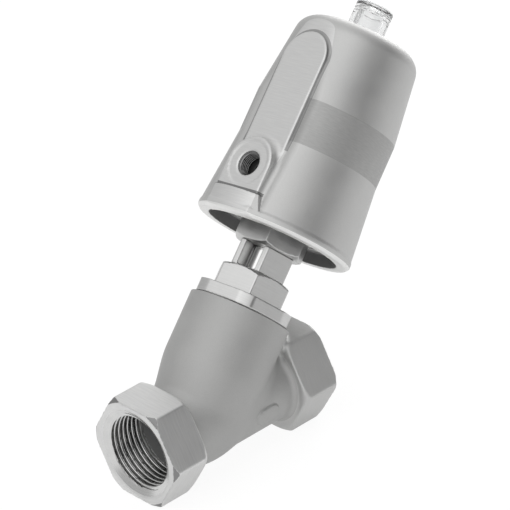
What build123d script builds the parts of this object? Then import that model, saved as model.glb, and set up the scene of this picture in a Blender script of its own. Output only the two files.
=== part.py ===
from build123d import *

import os
from math import cos, radians, sin, tan

# Angle-seat valve, G 1, single acting: a spring closes it and air under the piston opens it.
# Origin: centre of the inlet port's end face. +X runs along the pipe from inlet to outlet and
# +Z is up. The stem leans from the pipe towards +X. Stem parts are drawn upright in their own
# frame, whose zero is where the stem and pipe axes cross, and are tipped into place at the end.

# ---- driving dimensions, in millimetres and degrees ----

# pipe run
stem_angle = 45.0
inlet_length = 30.1
outlet_length = 59.9
port_hex_flats = 41.0
port_hex_length = 18.0
port_hex_turn = 8.0
port_hex_face_radius = 22.2
port_thread_radius = 15.15
port_thread_length = 17.0
port_mouth_radius = 18.6
port_mouth_depth = 1.1
run_radius = 16.5
run_bore_radius = 12.5
casting_mark_length = 11.0
casting_mark_width = 6.4
casting_mark_height = 0.7
casting_mark_offset = 26.4
casting_mark_droop = 15.0

# neck and seat
neck_radius = 20.9
neck_top = 48.0
neck_blend_top = 15.0
belly_radius = 18.4
belly_height = 3.0
cavity_radius = 14.6
seat_height = 5.0
seat_web = 5.0
seat_bore_radius = 11.5
bonnet_thread_length = 15.5
spot_face_radius = 22.0

# bonnet
bonnet_thread_radius = 16.3
bonnet_flange_flats = 38.5
bonnet_flange_turned_radius = 20.7
bonnet_flange_height = 5.3
bonnet_flange_turn = 44.0
bonnet_nose_radius = 10.0
bonnet_nose_length = 2.0
bonnet_spigot_radius = 10.5
bonnet_spigot_height = 5.2
bonnet_floor = 4.5
gasket_height = 1.0
packing_bore_radius = 8.5
packing_spring_height = 5.0
packing_spring_wire = 1.2
packing_spring_turns = 4
packing_ring_height = 2.0
v_ring_height = 2.2
v_ring_depth = 0.9
v_ring_count = 4
wiper_height = 1.8
wiper_radius = 7.0

# union nut and lantern
union_nut_flats = 28.0
union_nut_height = 9.9
union_nut_lip = 2.3
union_nut_turn = 45.5
lantern_neck_radius = 9.0
lantern_flats = 22.0
lantern_hex_height = 10.6
lantern_turn = 44.5
lantern_stud_radius = 8.9
lantern_bore_clearance = 0.6
window_width = 6.6
window_sill = 1.6

# actuator base
hub_flats = 27.0
hub_turn = 36.0
hub_drop = 5.0
hub_hex_height = 9.0
hub_round_radius = 16.0
base_low = 8.0
base_thickness = 4.5
base_web = 1.0
rod_bush_length = 4.0
rod_bush_radius = 7.0
rod_seal_length = 2.5
rod_seal_radius = 7.5
rod_seal_cover = 1.0
retaining_ring_width = 1.6
retaining_ring_bite = 1.3
retaining_ring_ledge = 1.8
retaining_ring_gap = 9.0
o_ring_wire = 2.0
o_ring_groove_width = 2.4

# actuator housing, with heights above its rim and walls outside its chamber
chamber_radius = 22.0
rim_wall = 10.6
waist_wall = 7.4
shoulder_wall = 3.9
flat_wall = 3.0
flat_rim_wall = 6.3
strip_wall = 4.3
boss_wall = 8.3
rim_bevel = 1.3
rim_band = 3.6
rim_step = 0.3
skirt_wall = 5.4
skirt_taper = 0.6
skirt_depth = 5.0
waist_low = 34.5
waist_high = 53.0
shoulder_fillet = 7.0
dome_height = 89.0
dome_thickness = 4.0
chamber_corner = 3.0
strip_half_width = 11.2
strip_top_drop = 9.6
boss_half_width = 11.3
boss_height = 20.6
lip_height = 9.5
lip_half_width = 12.3
lip_foot_half_width = 15.4
air_thread_radius = 4.28
air_mouth_radius = 5.3
air_mouth_depth = 0.8
air_thread_floor = 2.0
air_passage_radius = 1.8

# indicator cap
cap_radius = 7.8
cap_height = 13.3
cap_bore_radius = 4.7
cap_roof = 1.8
cap_shank_radius = 6.9
cap_o_ring_wire = 0.9
cap_groove_width = 1.1
cap_edge_fillet = 1.2

# spring and its seat
spring_radius = 16.5
spring_wire = 3.5
spring_turns = 7
spring_seat_height = 1.5
spring_seat_clearance = 0.5
spring_seat_inner_radius = 9.0
spring_seat_margin = 3.2

# stem
stroke = 10.0
spindle_radius = 5.0
spindle_thread_radius = 4.0
spindle_shoulder = 22.0
spindle_thread_length = 16.5
plug_radius = 13.4
plug_height = 5.8
plug_hub_radius = 8.0
plug_hub_height = 3.5
plug_socket_depth = 7.0
plug_pin_radius = 1.25
plug_pin_sink = 0.5
plug_chamfer = 1.4
seal_height = 3.2
seal_radius = 13.0
retainer_radius = 8.2
retainer_height = 2.4
retainer_chamfer = 0.6
small_nut_flats = 13.0
small_nut_height = 6.0
spindle_tail = 1.0
piston_clearance = 0.4
piston_skirt = 2.4
piston_hub_radius = 9.0
piston_hub_drop = 3.0
piston_height = 9.0
piston_web_top = 5.0
piston_seal_height = 2.6
piston_groove_depth = 2.4
guide_groove_depth = 1.2
piston_land = 1.2
piston_seal_lip = 0.8
piston_washer_height = 1.4
piston_washer_radius = 8.0
pin_radius = 3.0
pin_stub_radius = 2.0
pin_stub_length = 5.0
pin_rise = 1.0
pin_chamfer = 0.6

# clearances
thread_clearance = 0.1
running_clearance = 0.05
seating_gap = 0.1
seal_gap = 0.05

# how far cutting shapes run past what they cut, and how hexagons are set out and turned off
overcut = 1.0
turned_face_share = 0.97
corner_to_flat = 30.0
turning_angle = 30.0

# ---- radii worked out from the spindle and the chamber ----
lantern_bore_radius = spindle_radius + lantern_bore_clearance
piston_radius = chamber_radius - piston_clearance
piston_skirt_inner_radius = piston_radius - piston_skirt
retaining_ring_inner_radius = chamber_radius - retaining_ring_ledge
spring_seat_outer_radius = chamber_radius - spring_seat_margin
rim_radius = chamber_radius + rim_wall
rim_face_radius = rim_radius - rim_bevel
skirt_radius = rim_radius - skirt_wall
waist_radius = chamber_radius + waist_wall
shoulder_radius = chamber_radius + shoulder_wall
flat_reach = chamber_radius + flat_wall
flat_rim_reach = chamber_radius + flat_rim_wall
strip_reach = chamber_radius + strip_wall
boss_reach = chamber_radius + boss_wall
air_thread_length = boss_wall - air_mouth_depth - air_thread_floor
strip_top = dome_height - strip_top_drop

# ---- heights worked out along the stem ----
gasket_ledge_height = neck_top - bonnet_thread_length - gasket_height
packing_floor_height = gasket_ledge_height + bonnet_floor
flange_top = neck_top + bonnet_flange_height
spigot_top = flange_top + bonnet_spigot_height
nut_low = flange_top + seating_gap
nut_top = nut_low + union_nut_height
lantern_low = spigot_top + seating_gap
lantern_hex_low = nut_top + seating_gap
lantern_hex_top = lantern_hex_low + lantern_hex_height
rim_height = lantern_hex_top + seating_gap + hub_drop
base_bottom = rim_height + base_low
base_top = base_bottom + base_thickness
rod_seal_low = base_top - rod_seal_cover - rod_seal_length
rod_bush_low = rod_seal_low - rod_bush_length
lantern_top = rod_bush_low - base_web - seating_gap
dome_top = rim_height + dome_height
dome_inside = dome_top - dome_thickness
seat_top_of_spring = dome_inside - seating_gap - spring_seat_height
piston_bottom = rim_height + spindle_shoulder
piston_web_low = piston_bottom + piston_hub_drop
piston_web_high = piston_web_low + piston_web_top
spring_low = piston_web_high + seating_gap
spring_high = seat_top_of_spring - seating_gap
seal_low = seat_height + seal_gap
plug_low = seal_low + seal_height
plug_top = plug_low + plug_height + plug_hub_height
retainer_low = seal_low - retainer_height
seal_nut_low = retainer_low - small_nut_height
spindle_low = seal_nut_low - spindle_tail
piston_washer_low = piston_bottom + piston_hub_drop + piston_web_top + seating_gap
piston_nut_low = piston_washer_low + piston_washer_height
spindle_top = piston_bottom + spindle_thread_length
retaining_groove_low = base_bottom - retaining_ring_width - seating_gap

stem_place = Location((inlet_length, 0, 0), (0, stem_angle, 0))
bottom = (Align.CENTER, Align.CENTER, Align.MIN)


# ---- shapes that repeat ----
def rod(radius, low, high):
    return Pos(0, 0, low) * Cylinder(radius, high - low, align=bottom)


def tube(outer, inner, low, high):
    return rod(outer, low, high) - rod(inner, low - overcut, high + overcut)


def turned(corners):
    """Solid of revolution about the upright axis, from its (radius, height) corners."""
    outline = Polyline(*[(radius, 0, height) for radius, height in corners], close=True)
    return revolve(make_face(outline), Axis.Z)


def hexagon(flats, low, high, turn=0.0):
    """Six-sided bar whose corner stands turn degrees from -X towards -Y."""
    section = RegularPolygon(flats / 2, 6, major_radius=False, rotation=turn)
    return Pos(0, 0, low) * extrude(section, high - low)


def corner_radius(flats):
    return flats / 2 / cos(radians(corner_to_flat))


def turned_hexagon(flats, low, high, turn, chamfer_low, chamfer_high):
    """Hexagon whose corners are turned off at 30 degrees at one end or both."""
    corner = corner_radius(flats)
    face = flats / 2 * turned_face_share
    rise = (corner - face) * tan(radians(turning_angle))
    start = face if chamfer_low else corner
    finish = face if chamfer_high else corner
    limit = turned(
        [(0, low), (start, low), (corner, low + rise), (corner, high - rise), (finish, high), (0, high)]
    )
    return hexagon(flats, low, high, turn) & limit


def o_ring(centre_radius, wire, height):
    return Pos(0, 0, height) * Torus(centre_radius, wire / 2)


def coil(radius, wire, low, high, turns):
    """Compression spring whose round wire stays between low and high."""
    rise = high - low - wire
    path = Helix(pitch=rise / turns, height=rise, radius=radius)
    start = path @ 0
    section = Plane(origin=start, z_dir=path % 0) * Circle(wire / 2)
    return Pos(0, 0, low + wire / 2) * sweep(section, path, is_frenet=True)


def ring_arc(outer, inner, low, high, gap_width):
    """Flat ring left open by a gap of the given width on its +X side."""
    opening = Pos(outer, 0, low) * Box(outer * 2, gap_width, high - low, align=bottom)
    return tube(outer, inner, low, high) - opening


def write(shape, node):
    shape.label = node
    export_step(shape, f"parts/{node}.step")


# ---- valve body ----
def port_end(face_x, inward):
    """Hexagon port end in pipe direction, with its corners turned off at the end face."""
    corner = corner_radius(port_hex_flats)
    chamfer = corner - port_hex_face_radius
    turn = corner_to_flat + port_hex_turn * inward
    limit = turned(
        [
            (0, 0),
            (port_hex_face_radius, 0),
            (corner, chamfer),
            (corner, port_hex_length - chamfer),
            (corner - chamfer, port_hex_length),
            (0, port_hex_length),
        ]
    )
    end = hexagon(port_hex_flats, 0, port_hex_length, turn) & limit
    return Location((face_x, 0, 0), (0, 90 * inward, 0)) * end


def port_hole(face_x, inward):
    """Threaded port: wide mouth, thread length, and a run-out cone to the bore."""
    runout = port_thread_radius - run_bore_radius
    thread_end = port_mouth_depth + port_thread_length
    hole = turned(
        [
            (0, -overcut),
            (port_mouth_radius, -overcut),
            (port_mouth_radius, 0),
            (port_thread_radius, port_mouth_depth),
            (port_thread_radius, thread_end),
            (run_bore_radius, thread_end + runout),
            (0, thread_end + runout),
        ]
    )
    return Location((face_x, 0, 0), (0, 90 * inward, 0)) * hole


def pipe_rod(radius, low, high):
    return Location((low, 0, 0), (0, 90, 0)) * Cylinder(radius, high - low, align=bottom)


def casting_mark():
    outline = SlotOverall(casting_mark_length, casting_mark_width)
    block = Rot(90 + casting_mark_droop, 0, 0) * extrude(outline, 2 * run_radius)
    skin = pipe_rod(run_radius + casting_mark_height, -casting_mark_length, casting_mark_length)
    return Pos(inlet_length + casting_mark_offset, 0, 0) * (block & skin)


def valve_body():
    total = inlet_length + outlet_length
    reach = total + neck_top
    neck = turned(
        [
            (0, belly_height),
            (belly_radius, belly_height),
            (neck_radius, neck_blend_top),
            (neck_radius, neck_top),
            (0, neck_top),
        ]
    )
    belly = Pos(0, 0, belly_height) * Sphere(belly_radius)
    outside = pipe_rod(run_radius, port_mouth_depth, total - port_mouth_depth) + stem_place * (neck + belly)
    outside += port_end(0, 1)
    outside += port_end(total, -1)
    outside += casting_mark()

    below_seat = stem_place * Pos(0, 0, seat_height - seat_web) * Box(
        reach * 2, reach * 2, reach * 2, align=(Align.CENTER, Align.CENTER, Align.MAX)
    )
    above_seat = stem_place * Pos(0, 0, seat_height) * Box(reach * 2, reach * 2, reach * 2, align=bottom)
    inlet_bore = pipe_rod(run_bore_radius, port_mouth_depth, total) & below_seat
    outlet_bore = pipe_rod(run_bore_radius, port_mouth_depth, total - port_mouth_depth) & above_seat
    seat_bore = rod(seat_bore_radius, seat_height - seat_web - overcut, seat_height + overcut)
    cavity = rod(cavity_radius, seat_height, neck_top)
    bonnet_thread = rod(bonnet_thread_radius + thread_clearance, gasket_ledge_height, neck_top + overcut)
    spot_face = rod(spot_face_radius, neck_top, reach)
    outside -= stem_place * spot_face
    body = outside - inlet_bore - outlet_bore - stem_place * (seat_bore + cavity + bonnet_thread)
    return body - port_hole(0, 1) - port_hole(total, -1)


# ---- bonnet and packing ----
def bonnet():
    barrel_low = gasket_ledge_height + gasket_height
    barrel = rod(bonnet_thread_radius, barrel_low, neck_top)
    nose = rod(bonnet_nose_radius, barrel_low - bonnet_nose_length, barrel_low)
    flange = hexagon(bonnet_flange_flats, neck_top, flange_top, bonnet_flange_turn)
    flange &= rod(bonnet_flange_turned_radius, neck_top, flange_top)
    spigot = rod(bonnet_spigot_radius, flange_top, spigot_top)
    solid = barrel + nose + flange + spigot
    guide = rod(spindle_radius + running_clearance, 0, spigot_top)
    packing_bore = rod(packing_bore_radius, packing_floor_height, spigot_top + overcut)
    return solid - guide - packing_bore


def bonnet_gasket():
    inner = cavity_radius + seating_gap
    return tube(bonnet_thread_radius, inner, gasket_ledge_height, gasket_ledge_height + gasket_height)


def packing_outer():
    return packing_bore_radius - thread_clearance


def packing_spring():
    radius = (packing_bore_radius + spindle_radius) / 2
    high = packing_floor_height + packing_spring_height
    return coil(radius, packing_spring_wire, packing_floor_height, high, packing_spring_turns)


def packing_pressure_ring():
    low = packing_floor_height + packing_spring_height
    top = low + packing_ring_height
    middle = (packing_outer() + spindle_radius) / 2
    inner = spindle_radius + running_clearance
    corners = [
        (inner, low),
        (packing_outer(), low),
        (packing_outer(), top),
        (middle, top + v_ring_depth),
        (inner, top),
    ]
    return turned(corners)


def v_ring(index):
    """Chevron ring that nests on the one below it."""
    low = packing_floor_height + packing_spring_height + packing_ring_height + index * v_ring_height
    high = low + v_ring_height
    middle = (packing_outer() + spindle_radius) / 2
    inner = spindle_radius + running_clearance
    corners = [
        (inner, low),
        (middle, low + v_ring_depth),
        (packing_outer(), low),
        (packing_outer(), high),
        (middle, high + v_ring_depth),
        (inner, high),
    ]
    return turned(corners)


def gland_bush():
    low = (
        packing_floor_height + packing_spring_height + packing_ring_height + v_ring_count * v_ring_height
    )
    high = spigot_top - seating_gap
    middle = (packing_outer() + spindle_radius) / 2
    inner = spindle_radius + running_clearance
    corners = [
        (inner, low),
        (middle, low + v_ring_depth),
        (packing_outer(), low),
        (packing_outer(), high),
        (wiper_radius + seating_gap, high),
        (wiper_radius + seating_gap, high - wiper_height),
        (inner, high - wiper_height),
    ]
    return turned(corners)


def spindle_wiper():
    high = spigot_top - seating_gap
    return tube(wiper_radius, spindle_radius + running_clearance, high - wiper_height, high)


# ---- union nut and lantern ----
def union_nut():
    nut = turned_hexagon(union_nut_flats, nut_low, nut_top, union_nut_turn, False, True)
    bore = rod(bonnet_spigot_radius + thread_clearance, nut_low - overcut, nut_top - union_nut_lip)
    hole = rod(lantern_neck_radius + thread_clearance, nut_low, nut_top + overcut)
    return nut - bore - hole


def window():
    """Slot across the lantern, rounded at the sill, through which the spindle shows."""
    sill = lantern_hex_low + window_sill + window_width / 2
    across = lantern_flats * 2
    opening = Pos(0, 0, sill) * Box(
        across, window_width, lantern_hex_top - sill, align=bottom
    )
    rounded = Location((-across / 2, 0, sill), (0, 90, 0)) * Cylinder(
        window_width / 2, across, align=bottom
    )
    return opening + rounded


def lantern():
    collar_top = nut_top - union_nut_lip - seating_gap
    collar = rod(bonnet_spigot_radius - thread_clearance, lantern_low, collar_top)
    waist = rod(lantern_neck_radius, collar_top, lantern_hex_low)
    hexed = hexagon(lantern_flats, lantern_hex_low, lantern_hex_top, lantern_turn)
    stud = rod(lantern_stud_radius, lantern_hex_top, lantern_top)
    slot_turn = lantern_turn - corner_to_flat
    slot = Rot(0, 0, slot_turn) * window()
    return collar + waist + hexed + stud - slot - rod(lantern_bore_radius, 0, lantern_top + overcut)


# ---- actuator base ----
def actuator_base():
    hub_low = lantern_hex_top + seating_gap
    hexed = turned_hexagon(hub_flats, hub_low, hub_low + hub_hex_height, hub_turn, True, False)
    collar = rod(hub_round_radius, hub_low + hub_hex_height, base_bottom)
    plate = rod(chamber_radius - thread_clearance, base_bottom, base_top)
    solid = hexed + collar + plate
    stud_hole = rod(lantern_stud_radius + thread_clearance, hub_low - overcut, lantern_top + seating_gap)
    bush_hole = rod(rod_bush_radius, rod_bush_low, rod_seal_low)
    seal_hole = rod(rod_seal_radius, rod_seal_low, rod_seal_low + rod_seal_length)
    rod_hole = rod(lantern_bore_radius, hub_low - overcut, base_top + overcut)
    return solid - stud_hole - bush_hole - seal_hole - rod_hole - base_groove()


def base_groove():
    inner = chamber_radius - o_ring_wire - seating_gap
    low = (base_bottom + base_top - o_ring_groove_width) / 2
    return tube(chamber_radius, inner, low, low + o_ring_groove_width)


def base_o_ring():
    centre = chamber_radius - seal_gap - o_ring_wire / 2
    return o_ring(centre, o_ring_wire, (base_bottom + base_top) / 2)


def rod_bush():
    outer = rod_bush_radius - seating_gap / 2
    return tube(outer, spindle_radius + running_clearance, rod_bush_low, rod_seal_low)


def rod_seal():
    outer = rod_seal_radius - seating_gap / 2
    high = rod_seal_low + rod_seal_length
    return tube(outer, spindle_radius + running_clearance, rod_seal_low, high)


def retaining_ring():
    outer = chamber_radius + retaining_ring_bite
    low = retaining_groove_low + seating_gap / 2
    high = low + retaining_ring_width
    return ring_arc(outer, retaining_ring_inner_radius, low, high, retaining_ring_gap)


# ---- actuator housing ----
def port_side_block(shape):
    """A shape seen square to the port side, drawn from the axis out past the rim."""
    return Plane.YZ * extrude(shape, -rim_radius * 2)


def beyond(reach, low, high):
    """Everything on the port side that lies further than reach from the axis."""
    depth = rim_radius * 2
    block = Box(depth, depth * 2, high - low, align=(Align.MAX, Align.CENTER, Align.MIN))
    return Pos(-reach, 0, low) * block


def port_side_flat():
    """Flat cast along the port side, which leans outwards below the waist as the flare does."""
    far = rim_radius * 2
    corners = [
        (-flat_rim_reach, 0, rim_band),
        (-flat_reach, 0, waist_low),
        (-flat_reach, 0, dome_height),
        (-far, 0, dome_height),
        (-far, 0, rim_band),
    ]
    return extrude(make_face(Polyline(*corners, close=True)), rim_radius, dir=(0, 1, 0), both=True)


def strip():
    """Flat raised strip with a round top, which runs up the port side from the boss."""
    middle = strip_top - strip_half_width
    outline = Pos(0, (middle + boss_height) / 2) * Rectangle(2 * strip_half_width, middle - boss_height)
    outline += Pos(0, middle) * Circle(strip_half_width)
    return port_side_block(outline) - beyond(strip_reach, 0, dome_height)


def boss():
    """Round-topped boss for the air port, with a flat face."""
    outline = Pos(0, boss_height / 2) * Rectangle(2 * boss_half_width, boss_height)
    outline += Pos(0, boss_height) * Circle(boss_half_width)
    return port_side_block(outline) - beyond(boss_reach, 0, dome_height)


def lip():
    """Foot of the boss, as wide as the rim is round and spread towards it."""
    corners = [
        (-lip_foot_half_width, rim_band / 2),
        (lip_foot_half_width, rim_band / 2),
        (lip_half_width, lip_height),
        (-lip_half_width, lip_height),
    ]
    return port_side_block(make_face(Polyline(*corners, close=True))) & rod(rim_radius, 0, dome_height)


def housing_outside():
    """Turned outside of the housing: rim band, flare, plain waist, taper and domed shoulder."""
    side = Polyline(
        (0, 0, 0),
        (rim_face_radius, 0, 0),
        (rim_radius, 0, rim_bevel),
        (rim_radius, 0, rim_band),
        (rim_radius - rim_step, 0, rim_band),
        (waist_radius, 0, waist_low),
        (waist_radius, 0, waist_high),
        (shoulder_radius, 0, dome_height - shoulder_fillet),
    )
    shoulder_middle = (
        shoulder_radius - shoulder_fillet * (1 - sin(radians(45))),
        0,
        dome_height - shoulder_fillet * (1 - sin(radians(45))),
    )
    shoulder = ThreePointArc(
        (shoulder_radius, 0, dome_height - shoulder_fillet),
        shoulder_middle,
        (shoulder_radius - shoulder_fillet, 0, dome_height),
    )
    top = Polyline((shoulder_radius - shoulder_fillet, 0, dome_height), (0, 0, dome_height), (0, 0, 0))
    return revolve(make_face(side + shoulder + top), Axis.Z)


def housing_inside():
    """Skirt recess, piston chamber, groove for the retaining ring and hole for the cap."""
    inside = dome_height - dome_thickness
    hollow = turned(
        [
            (0, -overcut),
            (skirt_radius, -overcut),
            (skirt_radius, 0),
            (skirt_radius - skirt_taper, skirt_depth),
            (chamber_radius, skirt_depth),
            (chamber_radius, inside - chamber_corner),
            (chamber_radius - chamber_corner, inside),
            (0, inside),
        ]
    )
    groove_low = retaining_groove_low - rim_height - seating_gap / 2
    groove_radius = chamber_radius + retaining_ring_bite + seating_gap
    groove = rod(groove_radius, groove_low, base_low)
    cap_hole = rod(cap_shank_radius + thread_clearance, inside - overcut, dome_height + overcut)
    return hollow + groove + cap_hole


def air_port():
    """Threaded hole square to the boss's face, with a narrow passage to the chamber."""
    thread_end = air_mouth_depth + air_thread_length
    hole = turned(
        [
            (0, -overcut),
            (air_mouth_radius, -overcut),
            (air_mouth_radius, 0),
            (air_thread_radius, air_mouth_depth),
            (air_thread_radius, thread_end),
            (air_passage_radius, thread_end),
            (air_passage_radius, thread_end + boss_half_width),
            (0, thread_end + boss_half_width),
        ]
    )
    return Location((-boss_reach, 0, boss_height), (0, 90, 0)) * hole


def actuator_housing():
    shell = housing_outside() - port_side_flat()
    shell = shell + (strip() + boss() + lip() - rod(chamber_radius, -overcut, dome_height))
    shell = shell - housing_inside() - air_port()
    return Pos(0, 0, rim_height) * shell


# ---- indicator cap, spring seat and spring ----
def indicator_cap():
    low = dome_inside + seating_gap
    flange = rod(cap_radius, dome_top, dome_top + cap_height)
    flange = fillet(flange.edges().group_by(Axis.Z)[-1], cap_edge_fillet)
    shank = rod(cap_shank_radius, low, dome_top)
    groove_low = (low + dome_top - cap_groove_width) / 2
    groove_high = groove_low + cap_groove_width
    groove = tube(cap_radius, cap_shank_radius - cap_o_ring_wire, groove_low, groove_high)
    bore = rod(cap_bore_radius, low - overcut, dome_top + cap_height - cap_roof)
    return flange + shank - groove - bore


def cap_o_ring():
    centre = cap_shank_radius + seal_gap - cap_o_ring_wire / 2
    return o_ring(centre, cap_o_ring_wire, (dome_inside + seating_gap + dome_top) / 2)


def spring_seat():
    low = seat_top_of_spring
    high = low + spring_seat_height
    washer = tube(spring_seat_outer_radius, spring_seat_inner_radius, low, high)
    collar_outer = spring_radius - spring_wire / 2 - spring_seat_clearance
    return washer + tube(collar_outer, spring_seat_inner_radius, low - spring_wire, low)


def main_spring():
    return coil(spring_radius, spring_wire, spring_low, spring_high, spring_turns)


# ---- stem ----
def spindle():
    low_thread = rod(spindle_thread_radius, spindle_low, plug_low)
    shaft = rod(spindle_radius, plug_low, piston_bottom)
    high_thread = rod(spindle_thread_radius, piston_bottom, spindle_top)
    stub_hole = rod(
        pin_stub_radius + running_clearance, spindle_top - pin_stub_length - seating_gap, spindle_top + overcut
    )
    return low_thread + shaft + high_thread - stub_hole - plug_pin_hole()


def plug_pin_height():
    return plug_low + plug_height + plug_hub_height / 2


def plug_pin_hole():
    half = plug_hub_radius + overcut
    radius = plug_pin_radius + running_clearance
    return Location((0, half, plug_pin_height()), (90, 0, 0)) * Cylinder(radius, 2 * half, align=bottom)


def plug_pin():
    half = plug_hub_radius - plug_pin_sink
    return Location((0, half, plug_pin_height()), (90, 0, 0)) * Cylinder(
        plug_pin_radius, 2 * half, align=bottom
    )


def valve_plug():
    disc = rod(plug_radius, plug_low, plug_low + plug_height)
    disc = chamfer(disc.edges().group_by(Axis.Z)[-1], plug_chamfer)
    hub = rod(plug_hub_radius, plug_low + plug_height, plug_top)
    socket = rod(spindle_radius + running_clearance, plug_low - overcut, plug_top + overcut)
    return disc + hub - socket - plug_pin_hole()


def seat_seal():
    return tube(seal_radius, spindle_thread_radius + running_clearance, seal_low, plug_low)


def seal_retainer():
    washer = rod(retainer_radius, retainer_low, seal_low)
    washer = chamfer(washer.edges().group_by(Axis.Z)[0], retainer_chamfer)
    return washer - rod(spindle_thread_radius + running_clearance, retainer_low - overcut, plug_low)


def small_nut(low):
    nut = turned_hexagon(small_nut_flats, low, low + small_nut_height, 0.0, True, True)
    return nut - rod(spindle_thread_radius + running_clearance, low - overcut, low + small_nut_height + overcut)


def piston():
    disc_high = piston_web_low + piston_height
    disc = rod(piston_radius, piston_web_low, disc_high)
    hub = rod(piston_hub_radius, piston_bottom, piston_web_low)
    cup = rod(piston_skirt_inner_radius, piston_web_high, disc_high + overcut)
    hole = rod(spindle_thread_radius + running_clearance, piston_bottom - overcut, disc_high + overcut)
    return disc + hub - cup - hole - piston_groove(0) - piston_groove(1)


def piston_groove_height(index):
    """Height of the lower edge of the seal's groove, or of the guide ring's."""
    return piston_web_low + piston_land + index * (piston_seal_height + piston_land)


def piston_groove(index):
    low = piston_groove_height(index)
    depth = piston_groove_depth if index == 0 else guide_groove_depth
    return tube(chamber_radius, piston_radius - depth, low, low + piston_seal_height)


def piston_seal():
    low = piston_groove_height(0) + seating_gap
    high = low + piston_seal_height - 2 * seating_gap
    inner = piston_radius - piston_groove_depth + seating_gap
    outer = chamber_radius - running_clearance
    return turned(
        [
            (inner, low),
            (outer - piston_seal_lip, low),
            (outer, low + piston_seal_lip),
            (outer, high),
            (inner, high),
        ]
    )


def piston_guide_ring():
    low = piston_groove_height(1) + seating_gap
    high = low + piston_seal_height - 2 * seating_gap
    inner = piston_radius - guide_groove_depth + seating_gap
    return tube(chamber_radius - running_clearance, inner, low, high)


def piston_washer():
    high = piston_washer_low + piston_washer_height
    return tube(piston_washer_radius, spindle_thread_radius + running_clearance, piston_washer_low, high)


def indicator_pin():
    high = dome_top + pin_rise
    pin = rod(pin_radius, spindle_top, high)
    pin = chamfer(pin.edges().group_by(Axis.Z)[-1], pin_chamfer)
    return pin + rod(pin_stub_radius, spindle_top - pin_stub_length, spindle_top)


stem_parts = {
    "bonnet": bonnet,
    "bonnet_gasket": bonnet_gasket,
    "packing_spring": packing_spring,
    "packing_pressure_ring": packing_pressure_ring,
    "gland_bush": gland_bush,
    "spindle_wiper": spindle_wiper,
    "union_nut": union_nut,
    "lantern": lantern,
    "actuator_base": actuator_base,
    "base_o_ring": base_o_ring,
    "rod_bush": rod_bush,
    "rod_seal": rod_seal,
    "retaining_ring": retaining_ring,
    "actuator_housing": actuator_housing,
    "indicator_cap": indicator_cap,
    "cap_o_ring": cap_o_ring,
    "spring_seat": spring_seat,
    "main_spring": main_spring,
    "spindle": spindle,
    "valve_plug": valve_plug,
    "plug_pin": plug_pin,
    "seat_seal": seat_seal,
    "seal_retainer": seal_retainer,
    "piston": piston,
    "piston_seal": piston_seal,
    "piston_guide_ring": piston_guide_ring,
    "piston_washer": piston_washer,
    "indicator_pin": indicator_pin,
}

os.makedirs("parts", exist_ok=True)
write(valve_body(), "valve_body")
for node, build in stem_parts.items():
    write(stem_place * build(), node)
for index in range(v_ring_count):
    write(stem_place * v_ring(index), f"packing_v_ring_{index + 1}")
write(stem_place * small_nut(seal_nut_low), "seal_nut")
write(stem_place * small_nut(piston_nut_low), "piston_nut")
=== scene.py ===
import bpy
import math
import numpy as np
from mathutils import Matrix, Vector


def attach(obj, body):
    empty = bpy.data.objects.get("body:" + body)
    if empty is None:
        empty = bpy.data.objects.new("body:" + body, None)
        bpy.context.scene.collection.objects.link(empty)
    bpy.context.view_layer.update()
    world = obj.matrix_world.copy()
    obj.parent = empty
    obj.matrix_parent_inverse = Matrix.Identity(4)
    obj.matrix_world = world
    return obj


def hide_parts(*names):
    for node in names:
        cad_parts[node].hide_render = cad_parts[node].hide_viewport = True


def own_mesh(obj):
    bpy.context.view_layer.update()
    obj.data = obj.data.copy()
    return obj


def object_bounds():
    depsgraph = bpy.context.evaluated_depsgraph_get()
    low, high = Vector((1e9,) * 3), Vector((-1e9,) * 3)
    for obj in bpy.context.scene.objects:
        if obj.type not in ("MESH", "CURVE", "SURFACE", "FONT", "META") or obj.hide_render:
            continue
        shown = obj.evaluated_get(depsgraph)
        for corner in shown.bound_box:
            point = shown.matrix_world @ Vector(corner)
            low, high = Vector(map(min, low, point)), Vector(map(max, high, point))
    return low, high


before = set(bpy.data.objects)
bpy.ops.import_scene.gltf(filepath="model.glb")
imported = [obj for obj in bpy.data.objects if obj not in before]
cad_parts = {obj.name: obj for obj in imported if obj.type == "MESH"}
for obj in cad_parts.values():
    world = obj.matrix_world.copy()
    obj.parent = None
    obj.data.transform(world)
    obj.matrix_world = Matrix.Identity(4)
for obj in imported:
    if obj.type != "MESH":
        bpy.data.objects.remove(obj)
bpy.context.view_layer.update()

# ---- valve body ----
# The body is one stainless investment casting: a straight pipe run with a hexagon at each end
# and a fat neck that leans back over the outlet. It is bead blasted, the hexagons are milled and
# their faces are turned.
MM = 0.001
LEAN = math.radians(45)
STEM_FOOT = 30.1
BODY_LENGTH = 90.0
RUN_RADIUS = 16.5
RUN_BORE = 12.5
NECK_FOOT = 3.0
NECK_RISE = 21.0
NECK_FOOT_RADIUS = 18.4
NECK_SWELL = 2.5
PLUG_CHAMBER = 14.6
SEAT_RADIUS = 11.5
BONNET_BORE = 16.4
BONNET_BORE_FOOT = 31.5
PORT_FLATS = 41.0
PORT_LENGTH = 18.0
PORT_TURN = 8.0
PORT_FACE_RADIUS = 21.6
PORT_CONE = 1.1
PORT_MOUTH_RADIUS = 19.4
PORT_SINK = 2.2
PORT_RELIEF_RADIUS = 18.1
PORT_RELIEF_END = 17.0
PORT_MINOR_RADIUS = 15.15
NECK_TOP = 48.0
SEAT_TOP = 5.0
MARK_PLACE = 56.5
MARK_HALF_LENGTH = 2.5
MARK_RADIUS = 3.4
MARK_HEIGHT = 0.8
MARK_DROOP = math.radians(15)
SHADE_CORNER_DEPTH = 2.2
OUTLET_MILLING = 0.4


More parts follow.
